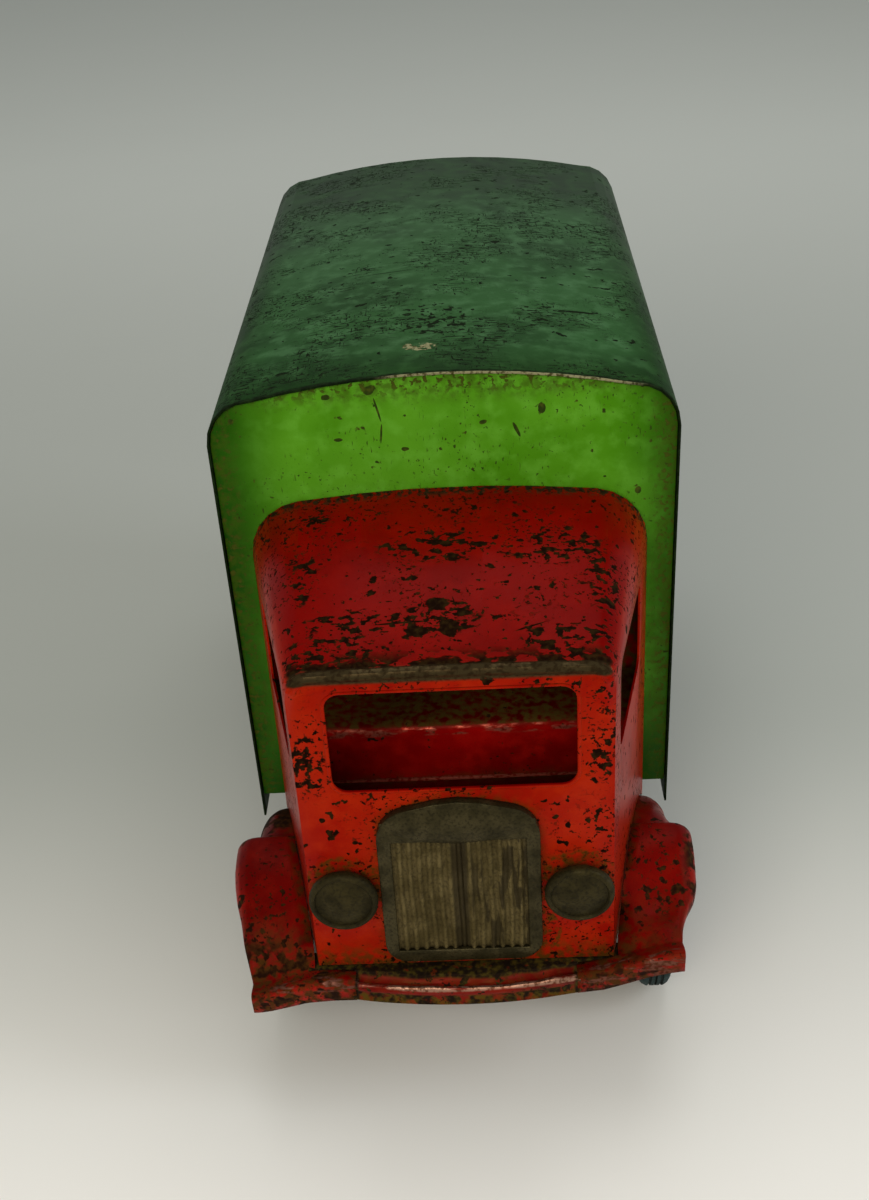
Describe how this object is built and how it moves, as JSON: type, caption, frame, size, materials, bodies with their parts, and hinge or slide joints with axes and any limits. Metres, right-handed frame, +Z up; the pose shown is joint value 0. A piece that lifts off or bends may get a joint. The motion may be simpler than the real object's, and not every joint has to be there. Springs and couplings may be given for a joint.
{
  "type": "toy tipping lorry",
  "caption": "Pressed-steel toy lorry: a tapered cab with grille, headlamps and wings ahead of a closed round-shouldered tipping body with a top-hung tailgate.",
  "frame": {"origin": "middle of the footprint, on the plane that the tyres stand on", "axes": "+Z up, -Y towards the nose, +X towards the lorry's side that is on the right when it is seen from the front"},
  "size_m": [0.1766, 0.3722, 0.2529],
  "materials": {
    "dark_green_enamel": "worn dark green stoving enamel",
    "bright_green_enamel": "soiled bright green stoving enamel",
    "red_enamel": "chipped orange-red stoving enamel",
    "inner_red_enamel": "deep red enamel with rust on the seat",
    "chassis_red_enamel": "dull red enamel",
    "tarnished_steel": "tarnished brown-grey plated steel",
    "bare_steel": "dull bare steel",
    "tyre_rubber": "aged black rubber"
  },
  "bodies": {
    "chassis": {"chassis_rail_left": "chassis_red_enamel", "chassis_rail_right": "chassis_red_enamel", "crossmember_front": "chassis_red_enamel", "crossmember_middle": "chassis_red_enamel", "crossmember_rear": "chassis_red_enamel", "front_hanger_left": "chassis_red_enamel", "front_hanger_right": "chassis_red_enamel", "rear_hanger_left": "chassis_red_enamel", "rear_hanger_right": "chassis_red_enamel", "front_axle": "bare_steel", "rear_axle": "bare_steel", "axle_cap_front_left": "bare_steel", "axle_cap_front_right": "bare_steel", "axle_cap_rear_left": "bare_steel", "axle_cap_rear_right": "bare_steel", "tipping_hinge_pin": "bare_steel", "cab_shell": "red_enamel", "cab_seat": "inner_red_enamel", "grille_surround": "tarnished_steel", "grille_core": "tarnished_steel", "headlamp_left": "tarnished_steel", "headlamp_right": "tarnished_steel", "wing_left": "red_enamel", "wing_right": "red_enamel", "mudguard_left": "red_enamel", "mudguard_right": "red_enamel", "front_bumper": "red_enamel"},
    "tipper": {"body_shell": "dark_green_enamel", "body_front_panel": "bright_green_enamel", "body_floor": "dark_green_enamel", "body_rear_header": "bright_green_enamel", "hinge_lug_left": "dark_green_enamel", "hinge_lug_right": "dark_green_enamel", "tailgate_pivot_left": "bare_steel", "tailgate_pivot_right": "bare_steel"},
    "tailgate": {"tailgate": "bright_green_enamel"},
    "wheel_front_left": {"wheel_front_left": "red_enamel", "tyre_front_left": "tyre_rubber"},
    "wheel_front_right": {"wheel_front_right": "red_enamel", "tyre_front_right": "tyre_rubber"},
    "wheel_rear_left": {"wheel_rear_left": "red_enamel", "tyre_rear_left": "tyre_rubber"},
    "wheel_rear_right": {"wheel_rear_right": "red_enamel", "tyre_rear_right": "tyre_rubber"}
  },
  "joints": [
    {"name": "front_left_roll", "type": "hinge", "parent": "chassis", "child": "wheel_front_left", "pos_m": [-0.0732, -0.11765, 0.033], "axis": [1, 0, 0], "continuous": true},
    {"name": "front_right_roll", "type": "hinge", "parent": "chassis", "child": "wheel_front_right", "pos_m": [0.0732, -0.11765, 0.033], "axis": [1, 0, 0], "continuous": true},
    {"name": "rear_left_roll", "type": "hinge", "parent": "chassis", "child": "wheel_rear_left", "pos_m": [-0.0732, 0.11615, 0.033], "axis": [1, 0, 0], "continuous": true},
    {"name": "rear_right_roll", "type": "hinge", "parent": "chassis", "child": "wheel_rear_right", "pos_m": [0.0732, 0.11615, 0.033], "axis": [1, 0, 0], "continuous": true},
    {"name": "body_tip", "type": "hinge", "parent": "chassis", "child": "tipper", "pos_m": [0, 0.17115, 0.0508], "axis": [-1, 0, 0], "range_deg": [0, 45]},
    {"name": "tailgate_swing", "type": "hinge", "parent": "tipper", "child": "tailgate", "pos_m": [0, 0.18115, 0.224], "axis": [1, 0, 0], "range_deg": [0, 90]}
  ]
}
